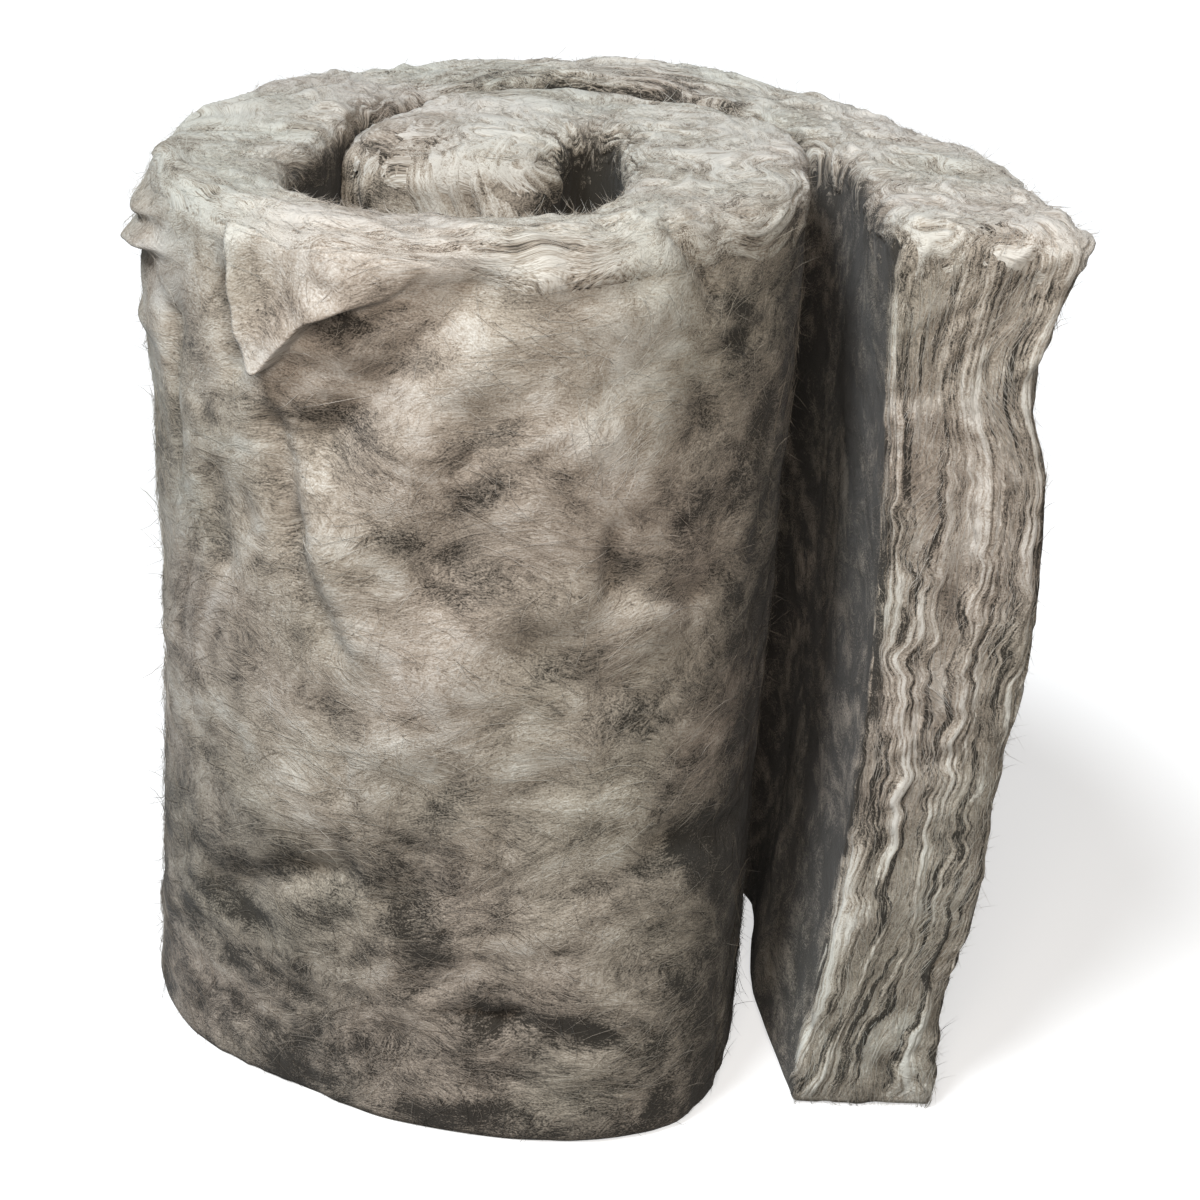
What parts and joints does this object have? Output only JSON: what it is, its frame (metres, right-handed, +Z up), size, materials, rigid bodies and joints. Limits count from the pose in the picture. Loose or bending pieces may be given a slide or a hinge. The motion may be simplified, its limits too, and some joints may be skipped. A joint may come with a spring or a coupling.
{
  "type": "insulation roll",
  "caption": "Unfaced glass-wool insulation batt wound loosely into a hollow roll that stands on end, its inner end folded back and its outer end peeled open as a flap.",
  "frame": {"origin": "middle of the roll's footprint box, on the floor it stands on", "axes": "+Z up along the winding axis, from the end it stands on to its open top end; the cut end of the peeled flap faces -Y, on the +X side of the drum"},
  "size_m": [0.396, 0.3666, 0.406],
  "materials": {
    "glass_wool": "matte, fibrous"
  },
  "bodies": {
    "root": {"wool_batt": "glass_wool"}
  },
  "joints": []
}
